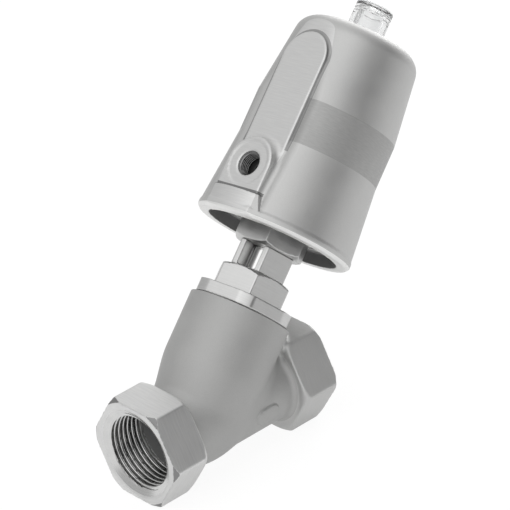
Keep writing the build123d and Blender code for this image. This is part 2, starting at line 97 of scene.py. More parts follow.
def meet(a, b, radius):
    """What two solids have in common, with the edge between them rounded to radius."""
    round_part = np.hypot(np.maximum(a + radius, 0), np.maximum(b + radius, 0))
    return np.minimum(np.maximum(a, b), -radius) + round_part


def weld(a, b, radius):
    """Two solids as one, with a fillet of radius in the corner between them."""
    return -meet(-a, -b, radius)


def cut(a, b, radius):
    """Solid a with b taken out of it, the new edge rounded to radius."""
    return meet(a, -b, radius)


def between(place, low, high):
    """Distance outside the slab from low to high."""
    return np.maximum(low - place, place - high)


def six_sides(across, up, flats, turn, corner):
    """Distance outside a hexagon bar whose corner stands turn degrees round from across."""
    sides = None
    for side in range(3):
        angle = math.radians(turn + 30 + 60 * side)
        face = np.abs(across * math.cos(angle) + up * math.sin(angle)) - flats / 2
        sides = face if sides is None else meet(sides, face, corner)
    return sides


def slope(place, places, sizes):
    """A size that runs in straight steps from one place to the next."""
    return np.interp(place, places, sizes).astype(np.float32)


def skin_points(solid, points):
    """Field and unit outward direction of a solid at some points."""
    reach = 0.02
    middle = solid(points[:, 0], points[:, 1], points[:, 2])
    lean = np.empty_like(points)
    for axis in range(3):
        step = np.zeros(3)
        step[axis] = reach
        ahead, behind = points + step, points - step
        lean[:, axis] = solid(*ahead.T) - solid(*behind.T)
    lean /= 2 * reach
    return middle, lean


def cast_mesh(name, solid, low, high, step, stand=None):
    """Mesh of the skin of a solid given as millimetres outside it at any point."""
    axes = [np.arange(a, b + step, step, dtype=np.float32) for a, b in zip(low, high)]
    x, y, z = np.meshgrid(*axes, indexing="ij", sparse=True)
    field = np.asarray(solid(x, y, z), dtype=np.float32)
    within = field < 0
    size = [n - 1 for n in field.shape]
    corners = [(i, j, k) for i in (0, 1) for j in (0, 1) for k in (0, 1)]
    count = np.zeros(size, dtype=np.int8)
    for i, j, k in corners:
        count += within[i : i + size[0], j : j + size[1], k : k + size[2]]
    cells = np.argwhere((count > 0) & (count < 8))
    one_by_one = [field[cells[:, 0] + i, cells[:, 1] + j, cells[:, 2] + k] for i, j, k in corners]
    values = np.stack(one_by_one)
    total = np.zeros((len(cells), 3))
    crossings = np.zeros(len(cells))
    for a in range(8):
        for b in range(a + 1, 8):
            if sum(m != n for m, n in zip(corners[a], corners[b])) != 1:
                continue
            crossed = (values[a] < 0) != (values[b] < 0)
            share = values[a] / np.where(crossed, values[a] - values[b], 1)
            place = np.array(corners[a]) + share[:, None] * (np.array(corners[b]) - corners[a])
            total += np.where(crossed[:, None], place, 0)
            crossings += crossed
    points = np.array(low) + step * (cells + total / crossings[:, None])
    for _ in range(4):
        outside, lean = skin_points(solid, points)
        push = outside / np.maximum((lean * lean).sum(1), 0.2)
        points -= np.clip(push, -step / 2, step / 2)[:, None] * lean
    number = np.full(size, -1, dtype=np.int64)
    number[tuple(cells.T)] = np.arange(len(cells))
    quads = []
    for axis in range(3):
        one, two = (axis + 1) % 3, (axis + 2) % 3
        first = np.moveaxis(within, (axis, one, two), (0, 1, 2))
        change = first[:-1, 1:-1, 1:-1] != first[1:, 1:-1, 1:-1]
        at = np.argwhere(change)
        leaving = first[:-1, 1:-1, 1:-1][tuple(at.T)]
        table = np.moveaxis(number, (axis, one, two), (0, 1, 2))
        i, j, k = at.T
        round_edge = [table[i, j, k], table[i, j + 1, k], table[i, j + 1, k + 1], table[i, j, k + 1]]
        quad = np.stack(round_edge, 1)
        quad[~leaving] = quad[~leaving][:, ::-1]
        quads.append(quad)
    quads = np.concatenate(quads)
    _, lean = skin_points(solid, points)
    lean /= np.maximum(np.linalg.norm(lean, axis=1), 1e-6)[:, None]
    points = points * MM
    if stand is not None:
        stand = np.array(stand)
        points = points @ stand[:3, :3].T + stand[:3, 3]
        lean = lean @ stand[:3, :3].T
    mesh = bpy.data.meshes.new(name)
    mesh.vertices.add(len(points))
    mesh.vertices.foreach_set("co", points.ravel())
    mesh.loops.add(quads.size)
    mesh.loops.foreach_set("vertex_index", quads.ravel())
    mesh.polygons.add(len(quads))
    mesh.polygons.foreach_set("loop_start", np.arange(0, quads.size, 4))
    mesh.polygons.foreach_set("loop_total", np.full(len(quads), 4))
    mesh.update(calc_edges=True)
    mesh.validate()
    mesh.polygons.foreach_set("use_smooth", np.ones(len(mesh.polygons), dtype=bool))
    mesh.normals_split_custom_set_from_vertices(lean)
    return placed(name, mesh)


def placed(name, mesh):
    """The mesh as a piece in the scene."""
    piece = bpy.data.objects.new(name, mesh)
    bpy.context.scene.collection.objects.link(piece)
    return piece


UPRIGHT = Matrix.Translation((STEM_FOOT * MM, 0, 0)) @ Matrix.Rotation(LEAN, 4, "Y")


def body_casting(x, y, z):
    """Outside of the casting, with its flow bore, seat, plug chamber and port bores taken out."""
    across = np.hypot(y, z)
    height = ((x - STEM_FOOT) + z) / math.sqrt(2)
    back = (z - (x - STEM_FOOT)) / math.sqrt(2)
    off_stem = np.hypot(back, y)
    run = meet(across - RUN_RADIUS, between(x, 1, BODY_LENGTH - 1), 0.5)
    rise = np.clip((height - NECK_FOOT) / NECK_RISE, 0, 1)
    neck_radius = NECK_FOOT_RADIUS + NECK_SWELL * rise * rise * (3 - 2 * rise)
    neck = meet(off_stem - neck_radius, between(height, NECK_FOOT, NECK_TOP), 0.5)
    belly = np.sqrt(off_stem**2 + (height - NECK_FOOT) ** 2) - NECK_FOOT_RADIUS
    solid = weld(run, np.minimum(neck, belly), 3.5)
    ends = six_sides(y, z, PORT_FLATS, PORT_TURN, 0.7)
    from_face = np.minimum(x, BODY_LENGTH - x)
    turned_off = (across - PORT_FACE_RADIUS - from_face * PORT_CONE) * 0.67
    ends = meet(ends, turned_off, 0.25)
    inner_edge = (across - PORT_FACE_RADIUS - (PORT_LENGTH - from_face) * 1.2) * 0.64
    ends = meet(ends, inner_edge, 0.9)
    ends = meet(ends, -from_face, 0.25)
    ends = meet(ends, from_face - PORT_LENGTH, 0.8)
    solid = weld(solid, ends, 2.6)
    along = x - MARK_PLACE
    outward = -y * math.cos(MARK_DROOP) - z * math.sin(MARK_DROOP)
    round_way = y * math.sin(MARK_DROOP) - z * math.cos(MARK_DROOP)
    past_middle = np.maximum(np.abs(along) - MARK_HALF_LENGTH, 0)
    mark = np.hypot(past_middle, round_way) - MARK_RADIUS
    mark = meet(mark, across - RUN_RADIUS - MARK_HEIGHT, 0.5)
    solid = weld(solid, meet(mark, -outward, 0.2), 0.5)
    spot_face = meet(off_stem - 22, NECK_TOP - height, 0.3)
    solid = cut(solid, spot_face, 0.4)
    seat_web = between(height, 0, SEAT_TOP)
    bore = meet(across - RUN_BORE, -seat_web, 0.5)
    bore = np.maximum(bore, between(x, 1.5, BODY_LENGTH - 1.5))
    chamber = meet(off_stem - PLUG_CHAMBER, SEAT_TOP - height, 0.8)
    seat = meet(off_stem - SEAT_RADIUS, between(height, -2, SEAT_TOP + 2), 0.2)
    thread = meet(off_stem - BONNET_BORE, BONNET_BORE_FOOT - height, 0.2)
    wide = np.maximum(across - PORT_RELIEF_RADIUS, from_face - PORT_RELIEF_END)
    mouth = across + from_face * PORT_SINK - PORT_MOUTH_RADIUS
    mouth = mouth / math.hypot(1, PORT_SINK)
    mouth = np.maximum(mouth, from_face - 1.5)
    wide = np.minimum(wide, mouth)
    narrowing = np.minimum(PORT_MINOR_RADIUS, 33.25 - from_face)
    runout = np.maximum(across - narrowing, from_face - 20.75)
    hollow = np.minimum(np.minimum(bore, chamber), np.minimum(seat, thread))
    hollow = np.minimum(hollow, np.minimum(wide, runout))
    return cut(solid, hollow, 0.25)


body = cast_mesh("body_casting", body_casting, (-1.2, -25.2, -25.2), (91.2, 25.2, 73.2), 0.6)


def nodes_for(name):
    """Empty metal shader and the helpers that add and join its nodes."""
    finish = bpy.data.materials.new(name)
    finish.use_nodes = True
    tree = finish.node_tree
    shader = tree.nodes["Principled BSDF"]

    def add(kind, inputs=(), **settings):
        node = tree.nodes.new(kind)
        for key, value in settings.items():
            setattr(node, key, value)
        for slot_name, value in dict(inputs).items():
            if isinstance(value, bpy.types.NodeSocket):
                tree.links.new(value, node.inputs[slot_name])
            else:
                node.inputs[slot_name].default_value = value
        return node

    def sum_of(kind, first, second=0.0, third=0.0, clamp=False):
        terms = {0: first, 1: second, 2: third}
        return add("ShaderNodeMath", terms, operation=kind, use_clamp=clamp).outputs[0]

    return finish, tree, shader, add, sum_of


def length_of(sum_of, first, second):
    """Distance given by two shader values at right angles."""
    squares = sum_of("POWER", first, 2.0), sum_of("POWER", second, 2.0)
    return sum_of("SQRT", sum_of("ADD", *squares))


def both(sum_of, first, second):
    """1 where both shader values are 1."""
    return sum_of("MULTIPLY", first, second)


def from_to(sum_of, value, low, high):
    """1 where a shader value lies between low and high."""
    return both(sum_of, sum_of("GREATER_THAN", value, low), sum_of("LESS_THAN", value, high))


def about_stem(add, lift=0.0):
    """Where a point lies in metres from the stem's foot, or lift up it, with Z along the stem."""
    where = add("ShaderNodeTexCoord").outputs["Object"]
    foot = (-STEM_FOOT * MM * math.cos(LEAN), 0, -STEM_FOOT * MM * math.sin(LEAN) - lift * MM)
    settings = {"Vector": where, "Location": foot, "Rotation": (0, -LEAN, 0)}
    return add("ShaderNodeMapping", settings, vector_type="POINT").outputs[0]


def mix_colour(add, share, first, second):
    """The first colour where share is 0, the second where it is 1."""
    node = add("ShaderNodeMix", {0: share, 6: first, 7: second}, data_type="RGBA")
    return node.outputs[2]


def blasted_steel(name, light, dark, rough, grain, depth):
    """Blasted stainless: peened grain, soft clouds, pits, milled hexagons, painted shade in bores and
    corners.
    """
    finish, tree, shader, add, sum_of = nodes_for(name)
    where = add("ShaderNodeTexCoord").outputs["Object"]
    clouds = add("ShaderNodeTexNoise", {"Vector": where, "Scale": 90.0, "Detail": 5.0}).outputs[0]
    peen = add("ShaderNodeTexNoise", {"Vector": where, "Scale": grain, "Detail": 3.0}).outputs[0]
    pits = add("ShaderNodeTexVoronoi", {"Vector": where, "Scale": grain * 0.45}).outputs[0]
    share = sum_of("MULTIPLY_ADD", peen, 0.5, sum_of("MULTIPLY", clouds, 0.6), clamp=True)
    split = add("ShaderNodeSeparateXYZ", {0: where})
    off = length_of(sum_of, split.outputs[1], split.outputs[2])
    # Painted shade: inside the bores the colour is drawn most of the way to a dark grey.
    within = sum_of("MULTIPLY", sum_of("LESS_THAN", off, (PORT_MINOR_RADIUS - 0.1) * MM), 0.85)
    skin = mix_colour(add, share, dark, light)
    from_inlet = split.outputs[0]
    from_outlet = sum_of("SUBTRACT", BODY_LENGTH * MM, split.outputs[0])
    past_hexagon = (PORT_LENGTH + 0.2) * MM
    at_outlet = sum_of("MULTIPLY", sum_of("LESS_THAN", from_outlet, past_hexagon), OUTLET_MILLING)
    near_end = sum_of("ADD", sum_of("LESS_THAN", from_inlet, past_hexagon), at_outlet)
    outside_run = sum_of("GREATER_THAN", off, (RUN_RADIUS + 1.3) * MM)
    on_hexagon = both(sum_of, near_end, outside_run)
    stretched = {0: where, 1: (1.0, 0.06, 0.06)}
    stroke_place = add("ShaderNodeVectorMath", stretched, operation="MULTIPLY").outputs[0]
    settings = {"Vector": stroke_place, "Scale": 1900.0, "Detail": 4.0}
    strokes = add("ShaderNodeTexNoise", settings).outputs[0]
    milled = mix_colour(add, strokes, (0.68, 0.68, 0.68, 1), (0.86, 0.86, 0.85, 1))
    skin = mix_colour(add, on_hexagon, skin, milled)
    # Painted shade: the turned-off corners of the hexagons next to the end faces are drawn dark grey.
    from_face = sum_of("MINIMUM", from_inlet, from_outlet)
    from_cone = sum_of("MULTIPLY_ADD", from_face, -PORT_CONE, off)
    past_cone = sum_of("GREATER_THAN", from_cone, (PORT_FACE_RADIUS - 0.17) * MM)
    corner = both(sum_of, past_cone, sum_of("LESS_THAN", from_face, SHADE_CORNER_DEPTH * MM))
    skin = mix_colour(add, corner, skin, (0.30, 0.30, 0.30, 1))
    colour_with_bore_shade = mix_colour(add, within, skin, (0.13, 0.13, 0.13, 1))
    tree.links.new(colour_with_bore_shade, shader.inputs["Base Color"])
    rough = sum_of("MULTIPLY_ADD", clouds, 0.14, rough - 0.07)
    tree.links.new(sum_of("MULTIPLY_ADD", on_hexagon, -0.22, rough), shader.inputs["Roughness"])
    height = sum_of("MULTIPLY_ADD", pits, 0.4, peen)
    bump = add("ShaderNodeBump", {"Strength": 0.4, "Distance": depth, "Height": height})
    tree.links.new(bump.outputs[0], shader.inputs["Normal"])
    shader.inputs["Metallic"].default_value = 1.0
    return finish


BODY_STEEL = blasted_steel(
    "body_blasted_steel", (0.62, 0.62, 0.61, 1), (0.46, 0.46, 0.46, 1), 0.68, 2600.0, 0.00006
)
body.data.materials.append(BODY_STEEL)
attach(body, "valve")
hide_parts("valve_body")


# ---- pipe threads ----
# Both ports have a right-hand pipe thread cut on the lathe after casting, with a wide
# countersink. The flanks stay bright where the tool passed. The air port has a smaller one.
PIPE_PITCH = 2.309
PIPE_DEPTH = 1.479
AIR_PITCH = 0.907
AIR_DEPTH = 0.58


def thread_sleeve(
    name, minor, depth, pitch, shell, start, finish_at, mouth, sink, turns_round, step
):
    """Closed sleeve whose bore carries the thread, along its own +Z from the end face."""
    rows = int((finish_at - start) / step) + 1
    along = start + np.linspace(0, finish_at - start, rows)
    angle = np.linspace(0, 2 * math.pi, turns_round, endpoint=False)
    reach, way = np.meshgrid(along, angle, indexing="ij")
    phase = np.mod(reach / pitch - way / (2 * math.pi), 1.0)
    flank = np.abs(phase - 0.5) * 2
    form = np.clip((flank - 0.16) / 0.68, 0, 1)
    form = form * form * (3 - 2 * form)
    bore = minor + depth * form
    countersink = mouth - reach * sink
    bore = np.maximum(bore, countersink)
    inner = np.stack([bore * np.cos(way), bore * np.sin(way), reach], -1).reshape(-1, 3)
    rims = []
    for place in (finish_at, start):
        level = np.full_like(angle, place)
        rims.append(np.stack([shell * np.cos(angle), shell * np.sin(angle), level], -1))
    points = np.concatenate([inner] + rims)
    total_rows = rows + 2
    quads = []
    for row in range(total_rows):
        following = (row + 1) % total_rows
        for turn in range(turns_round):
            after = (turn + 1) % turns_round
            a, b = row * turns_round + turn, row * turns_round + after
            c, d = following * turns_round + after, following * turns_round + turn
            quads.append((a, d, c, b))
    mesh = bpy.data.meshes.new(name)
    mesh.from_pydata((points * MM).tolist(), [], quads)
    mesh.polygons.foreach_set("use_smooth", np.ones(len(quads), dtype=bool))
    mesh.set_sharp_from_angle(angle=math.radians(50))
    mesh.update()
    return placed(name, mesh)


def turned_steel(name, light, dark, rough, ridge, depth):
    """Stainless turned in a lathe: fine feed marks in rings about the piece's own Z axis."""
    finish, tree, shader, add, sum_of = nodes_for(name)
    where = add("ShaderNodeTexCoord").outputs["Object"]
    split = add("ShaderNodeSeparateXYZ", {0: where})
    off = length_of(sum_of, split.outputs[0], split.outputs[1])
    rings = add("ShaderNodeCombineXYZ", {0: off, 1: split.outputs[2]}).outputs[0]
    feed = add("ShaderNodeTexNoise", {"Vector": rings, "Scale": ridge, "Detail": 4.0}).outputs[0]
    settings = {"Vector": where, "Scale": 160.0, "Detail": 4.0}
    clouds = add("ShaderNodeTexNoise", settings).outputs[0]
    share = sum_of("MULTIPLY_ADD", feed, 0.6, sum_of("MULTIPLY", clouds, 0.5), clamp=True)
    tree.links.new(mix_colour(add, share, dark, light), shader.inputs["Base Color"])
    tree.links.new(sum_of("MULTIPLY_ADD", feed, 0.14, rough - 0.07), shader.inputs["Roughness"])
    bump = add("ShaderNodeBump", {"Strength": 0.3, "Distance": depth, "Height": feed})
    tree.links.new(bump.outputs[0], shader.inputs["Normal"])
    shader.inputs["Metallic"].default_value = 1.0
    return finish


THREAD_STEEL = turned_steel(
    "thread_turned_steel", (0.80, 0.80, 0.79, 1), (0.56, 0.56, 0.56, 1), 0.2, 2200.0, 0.00002
)
AT_OUTLET = Matrix.Translation((BODY_LENGTH * MM, 0, 0))
IN_LINE = {
    "inlet_thread": Matrix.Rotation(math.radians(90), 4, "Y"),
    "outlet_thread": AT_OUTLET @ Matrix.Rotation(math.radians(-90), 4, "Y"),
}
for thread_name, place in IN_LINE.items():
    sleeve = thread_sleeve(
        thread_name,
        minor=PORT_MINOR_RADIUS,
        depth=PIPE_DEPTH,
        pitch=PIPE_PITCH,
        shell=18.3,
        start=0.5,
        finish_at=17.3,
        mouth=PORT_MOUTH_RADIUS,
        sink=PORT_SINK,
        turns_round=144,
        step=0.16,
    )
    sleeve.matrix_world = place
    sleeve.data.materials.append(THREAD_STEEL)
    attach(sleeve, "valve")


# ---- actuator housing ----
# The housing is a stainless casting with the piston bore inside. A flat, a raised strip, the boss
# for the air port and a lip under it are cast along its port side. The waist, strip and boss face
# are brushed, and the foot of the rim is turned and painted light, which stands in for its
# highlight. Painted shade lies round the foot of the strip, above the lip, in the air hole and
# inside the skirt.
RIM_PLACE = 79.1
RIM_RADIUS = 32.6
RIM_BAND = 3.6
WAIST_LOW = 34.5
WAIST_TOP = 53.0
OUTLINE_PLACES = [0, RIM_BAND - 0.5, RIM_BAND + 0.5, WAIST_LOW, WAIST_TOP, 82, 95]
OUTLINE_RADII = [RIM_RADIUS, RIM_RADIUS, 32.2, 29.4, 29.4, 25.9, 24.4]
RIM_FOOT_RADIUS = 31.3
FLAT_REACH = 25.0
FLAT_REACH_AT_RIM = 28.3
STRIP_HALF = 11.2
STRIP_REACH = 26.3
STRIP_CENTRE = 68.2
BOSS_HALF = 11.3
BOSS_REACH = 30.3
BOSS_HEIGHT = 20.6
BOSS_FOOT = 1.8
SPOT_FACE_RADIUS = 9.9
SPOT_FACE_DEPTH = 0.3
AIR_BORE = 5.0
AIR_PASSAGE = 1.8
LIP_TOP = 9.5
SKIRT_DEPTH = 5.0
CAP_HOLE = 7.0
DOME = 89.0
SHOULDER_FILLET = 7.0
CHAMBER = 22.0
ON_RIM = UPRIGHT @ Matrix.Translation((0, 0, RIM_PLACE * MM))


def housing_casting(x, y, z):
    """Turned outline with the flat, strip, boss and lip of the port side, and all that is bored."""
    off = np.hypot(x, y)
    side = slope(z, OUTLINE_PLACES, OUTLINE_RADII)
    turned = meet(off - side, z - DOME, SHOULDER_FILLET)
    turned = meet(turned, (off - RIM_FOOT_RADIUS - z) / math.sqrt(2), 0.3)
    turned = meet(turned, -z, 0.3)
    flat_reach = slope(z, [RIM_BAND, WAIST_LOW], [FLAT_REACH_AT_RIM, FLAT_REACH])
    flat = meet(flat_reach + x, RIM_BAND - z, 0.4)
    solid = cut(turned, flat, 0.8)
    strip = np.hypot(y, np.maximum(z - STRIP_CENTRE, 0)) - STRIP_HALF
    strip = meet(meet(strip, -x - STRIP_REACH, 0.9), x + CHAMBER, 0.1)
    strip = np.maximum(strip, BOSS_HEIGHT - z)
    solid = weld(solid, strip, 1.0)
    lip_half = slope(z, [BOSS_FOOT, LIP_TOP], [15.4, 12.3])
    lip = meet(meet(np.abs(y) - lip_half, off - RIM_RADIUS, 0.3), z - LIP_TOP, 0.35)
    lip = np.maximum(np.maximum(lip, x + CHAMBER), BOSS_FOOT - z)
    from_air = np.hypot(y, z - BOSS_HEIGHT)
    spot_face = SPOT_FACE_DEPTH * np.clip(SPOT_FACE_RADIUS - from_air, 0, 1)
    boss = np.hypot(y, np.maximum(z - BOSS_HEIGHT, 0)) - BOSS_HALF
    boss = meet(meet(boss, -x - BOSS_REACH + spot_face, 0.9), x + CHAMBER, 0.1)
    boss = np.maximum(boss, BOSS_FOOT - z)
    solid = weld(solid, boss, 2.6)
    solid = weld(solid, lip, 0.25)
    face = BOSS_REACH + x
    air = np.maximum(from_air - AIR_BORE, face - 7.0)
    air_mouth = (from_air + face - 5.9) / math.sqrt(2)
    air = np.minimum(air, np.maximum(air_mouth, face - 1))
    through_wall = between(x, -BOSS_REACH - 1, -CHAMBER + 2)
    passage = np.maximum(from_air - AIR_PASSAGE, through_wall)
    skirt = slope(z, [0, SKIRT_DEPTH], [27.2, 26.6])
    recess = meet(off - skirt, z - SKIRT_DEPTH, 0.5)
    chamber = meet(off - CHAMBER, z - 85, 1.0)
    groove = np.maximum(off - 23.4, between(z, 6.25, 8))
    cap_hole = np.maximum(off - CAP_HOLE, 80 - z)
    hollow = np.minimum(np.minimum(recess, chamber), np.minimum(groove, cap_hole))
    hollow = np.minimum(np.minimum(hollow, passage), air)
    return cut(solid, hollow, 0.25)


housing = cast_mesh(
    "housing_casting", housing_casting, (-33.6, -33.6, -1.2), (33.6, 33.6, 90.6), 0.6, ON_RIM
)


def housing_finish():
    """Blasted casting, with brushed bands on the waist and on the flat faces of the port side, painted
    shade round the strip, above the lip, in the air hole and in the skirt, and a painted highlight on the
    turned foot of the rim.
    """
    finish, tree, shader, add, sum_of = nodes_for("housing_steel")
    where = about_stem(add, RIM_PLACE)
    split = add("ShaderNodeSeparateXYZ", {0: where})
    across, sideways, up = split.outputs
    off = length_of(sum_of, across, sideways)
    around = sum_of("ARCTAN2", sideways, across)
    beside_middle = sum_of("ABSOLUTE", sideways)

    def noise(place, scale, detail):
        settings = {"Vector": place, "Scale": scale, "Detail": detail}
        return add("ShaderNodeTexNoise", settings).outputs[0]

    def below(value, limit):
        return sum_of("LESS_THAN", value, limit * MM)

    def beyond(value, limit):
        return sum_of("GREATER_THAN", value, limit * MM)

    clouds = noise(where, 70.0, 5.0)
    peen = noise(where, 2600.0, 3.0)
    round_way = sum_of("MULTIPLY", around, 0.004)
    rings = noise(add("ShaderNodeCombineXYZ", {0: round_way, 1: up}).outputs[0], 2400.0, 4.0)
    side_way = sum_of("MULTIPLY", sideways, 0.05)
    strokes = noise(add("ShaderNodeCombineXYZ", {0: side_way, 1: up}).outputs[0], 2400.0, 5.0)

    waist = from_to(sum_of, up, WAIST_LOW * MM, WAIST_TOP * MM)
    far_flat = both(sum_of, beyond(sideways, 10.0), below(across, -FLAT_REACH + 0.7))
    waist = both(sum_of, waist, sum_of("SUBTRACT", 1.0, far_flat))
    raised = below(across, -FLAT_REACH + 0.5)
    flat_face = both(sum_of, raised, below(beside_middle, BOSS_HALF))
    waist_only = both(sum_of, waist, sum_of("SUBTRACT", 1.0, flat_face))
    # Painted shade: the inside of the skirt recess is drawn dark.
    skirt = both(sum_of, below(up, SKIRT_DEPTH - 0.1), below(off, 27.4))

    share = sum_of("MULTIPLY_ADD", peen, 0.4, sum_of("MULTIPLY", clouds, 0.7), clamp=True)
    cast = mix_colour(add, share, (0.52, 0.52, 0.52, 1), (0.70, 0.70, 0.69, 1))
    brushed = mix_colour(add, strokes, (0.66, 0.66, 0.66, 1), (0.82, 0.82, 0.81, 1))
    ringed = mix_colour(add, rings, (0.42, 0.42, 0.42, 1), (0.58, 0.58, 0.57, 1))
    colour = mix_colour(add, waist_only, mix_colour(add, flat_face, cast, brushed), ringed)

    # Painted shade: a dark line round the foot of the raised strip.
    past_centre = sum_of("MAXIMUM", sum_of("SUBTRACT", up, STRIP_CENTRE * MM), 0.0)
    from_strip = length_of(sum_of, sideways, past_centre)
    strip_foot_shade = from_to(sum_of, from_strip, (STRIP_HALF - 0.2) * MM, (STRIP_HALF + 1.2) * MM)
    strip_foot_shade = both(sum_of, strip_foot_shade, beyond(up, 30.0))
    strip_foot_shade = both(sum_of, strip_foot_shade, below(across, -FLAT_REACH + 1.5))
    # Painted shadow on the boss face just above the lip's top edge.
    shadow_above_lip = from_to(sum_of, up, (LIP_TOP - 0.2) * MM, (LIP_TOP + 1.1) * MM)
    shadow_above_lip = both(sum_of, shadow_above_lip, below(beside_middle, 12.7))
    shadow_above_lip = both(sum_of, shadow_above_lip, below(across, -26.2))
    # The turned foot of the rim is painted light, which also stands in for its highlight.
    turned_foot_highlight = both(sum_of, below(up, 1.4), beyond(off, 26.8))
    # Painted shade inside the air hole.
    from_air = length_of(sum_of, sideways, sum_of("SUBTRACT", up, BOSS_HEIGHT * MM))
    air_hole_shade = both(sum_of, below(from_air, AIR_BORE + 0.2), below(across, -20.0))
    shades = [
        (sum_of("MULTIPLY", strip_foot_shade, 0.6), (0.20, 0.20, 0.20, 1)),
        (sum_of("MULTIPLY", shadow_above_lip, 0.8), (0.16, 0.16, 0.16, 1)),
        (turned_foot_highlight, (0.92, 0.92, 0.91, 1)),
        (air_hole_shade, (0.10, 0.10, 0.10, 1)),
        (skirt, (0.20, 0.20, 0.20, 1)),
    ]
    for where_it_shows, shade in shades:
        colour = mix_colour(add, where_it_shows, colour, shade)
    tree.links.new(colour, shader.inputs["Base Color"])
    rough = sum_of("MULTIPLY_ADD", clouds, 0.12, 0.5)
    rough = sum_of("MULTIPLY_ADD", waist_only, 0.06, rough)
    tree.links.new(sum_of("MULTIPLY_ADD", flat_face, -0.06, rough), shader.inputs["Roughness"])
    lines = sum_of("MULTIPLY_ADD", flat_face, sum_of("SUBTRACT", strokes, peen), peen)
    lines = sum_of("MULTIPLY_ADD", waist_only, sum_of("SUBTRACT", rings, lines), lines)
    bump = add("ShaderNodeBump", {"Strength": 0.3, "Distance": 0.00004, "Height": lines})
    tree.links.new(bump.outputs[0], shader.inputs["Normal"])
    shader.inputs["Metallic"].default_value = 1.0
    return finish


housing.data.materials.append(housing_finish())
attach(housing, "actuator")
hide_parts("actuator_housing")

air_thread = thread_sleeve(
    "air_port_thread",
    minor=4.28,
    depth=AIR_DEPTH,
    pitch=AIR_PITCH,
    shell=5.2,
    start=0.9,
    finish_at=6.6,
    mouth=5.9,
    sink=1.0,
    turns_round=96,
    step=0.09,
)
on_boss = Matrix.Translation((-BOSS_REACH * MM, 0, BOSS_HEIGHT * MM))
air_thread.matrix_world = ON_RIM @ on_boss @ Matrix.Rotation(math.radians(90), 4, "Y")
# The air port's thread is coloured near black: painted shade inside the small hole.
AIR_PORT_SHADE_STEEL = turned_steel(
    "air_port_painted_shade_steel", (0.30, 0.30, 0.30, 1), (0.12, 0.12, 0.12, 1), 0.3, 2200.0, 0.00002
)
air_thread.data.materials.append(AIR_PORT_SHADE_STEEL)
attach(air_thread, "actuator")


# ---- bonnet ----
# The bonnet is one turned and milled stainless plug. It screws into the neck down to its
# hexagon flange and carries the stem packing and the thread for the union nut.
BONNET_FLATS = 38.5
FLANGE_TOP = 53.3
SPIGOT_TOP = 58.5
SPINDLE = 5.0
FLANGE_CORNER_RADIUS = 20.7
BARREL_RADIUS = 16.3
NOSE_RADIUS = 10.0
SPIGOT_RADIUS = 10.5
PACKING_RADIUS = 8.5
PACKING_FOOT = 36.0


def bonnet_plug(x, y, z):
    """Hexagon flange over a round barrel, bored for the spindle and its packing."""
    off = np.hypot(x, y)
    flange = meet(six_sides(x, y, BONNET_FLATS, 44.0, 0.25), off - FLANGE_CORNER_RADIUS, 0.3)
    solid = meet(flange, between(z, NECK_TOP + 0.02, FLANGE_TOP), 0.35)
    barrel = meet(off - BARREL_RADIUS, between(z, 32.5, NECK_TOP + 1), 0.3)
    nose = meet(off - NOSE_RADIUS, between(z, 30.5, 34), 0.3)
    spigot = meet(off - SPIGOT_RADIUS, between(z, NECK_TOP, SPIGOT_TOP), 0.5)
    solid = np.minimum(np.minimum(solid, barrel), np.minimum(nose, spigot))
    packing = np.maximum(off - PACKING_RADIUS, PACKING_FOOT - z)
    bore = np.minimum(off - SPINDLE - 0.1, packing)
    return cut(solid, bore, 0.2)


bonnet = cast_mesh(
    "bonnet_plug", bonnet_plug, (-22.5, -22.5, 29.6), (22.5, 22.5, 59.4), 0.45, UPRIGHT
)


def milled_steel(name, light, dark, rough, depth):
    """Hexagon bar with milled flats: straight cutter marks across."""
    finish, tree, shader, add, sum_of = nodes_for(name)
    where = about_stem(add)
    split = add("ShaderNodeSeparateXYZ", {0: where})
    side_way = sum_of("MULTIPLY", split.outputs[0], 0.03)
    level = add("ShaderNodeCombineXYZ", {0: side_way, 1: split.outputs[2]}).outputs[0]
    settings = {"Vector": level, "Scale": 2600.0, "Detail": 4.0}
    strokes = add("ShaderNodeTexNoise", settings).outputs[0]
    settings = {"Vector": where, "Scale": 210.0, "Detail": 4.0}
    clouds = add("ShaderNodeTexNoise", settings).outputs[0]
    share = sum_of("MULTIPLY_ADD", strokes, 0.55, sum_of("MULTIPLY", clouds, 0.5), clamp=True)
    tree.links.new(mix_colour(add, share, dark, light), shader.inputs["Base Color"])
    tree.links.new(sum_of("MULTIPLY_ADD", clouds, 0.16, rough - 0.08), shader.inputs["Roughness"])
    bump = add("ShaderNodeBump", {"Strength": 0.25, "Distance": depth, "Height": strokes})
    tree.links.new(bump.outputs[0], shader.inputs["Normal"])
    shader.inputs["Metallic"].default_value = 1.0
    return finish


HEX_STEEL = milled_steel(
    "hexagon_milled_steel", (0.74, 0.74, 0.73, 1), (0.52, 0.52, 0.52, 1), 0.34, 0.00002
)


def fit_upright(piece, finish, body_name, slot_name, *nodes):
    piece.data.materials.append(finish)
    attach(piece, body_name)
    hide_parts(*nodes)


fit_upright(bonnet, HEX_STEEL, "valve", "machined_steel", "bonnet")


# ---- union nut ----
# The union nut holds the actuator on the bonnet. It is milled from hexagon bar, and its upper
# corners are turned off at thirty degrees.
NUT_FLATS = 28.0
NUT_LOW = 53.4
NUT_TOP = 63.3
NUT_TOP_RADIUS = 13.58
THIRTY_DEGREES = 1.73
NUT_THREAD_RADIUS = 10.6
NUT_LIP_RADIUS = 9.1
NUT_LIP_FOOT = 61.0


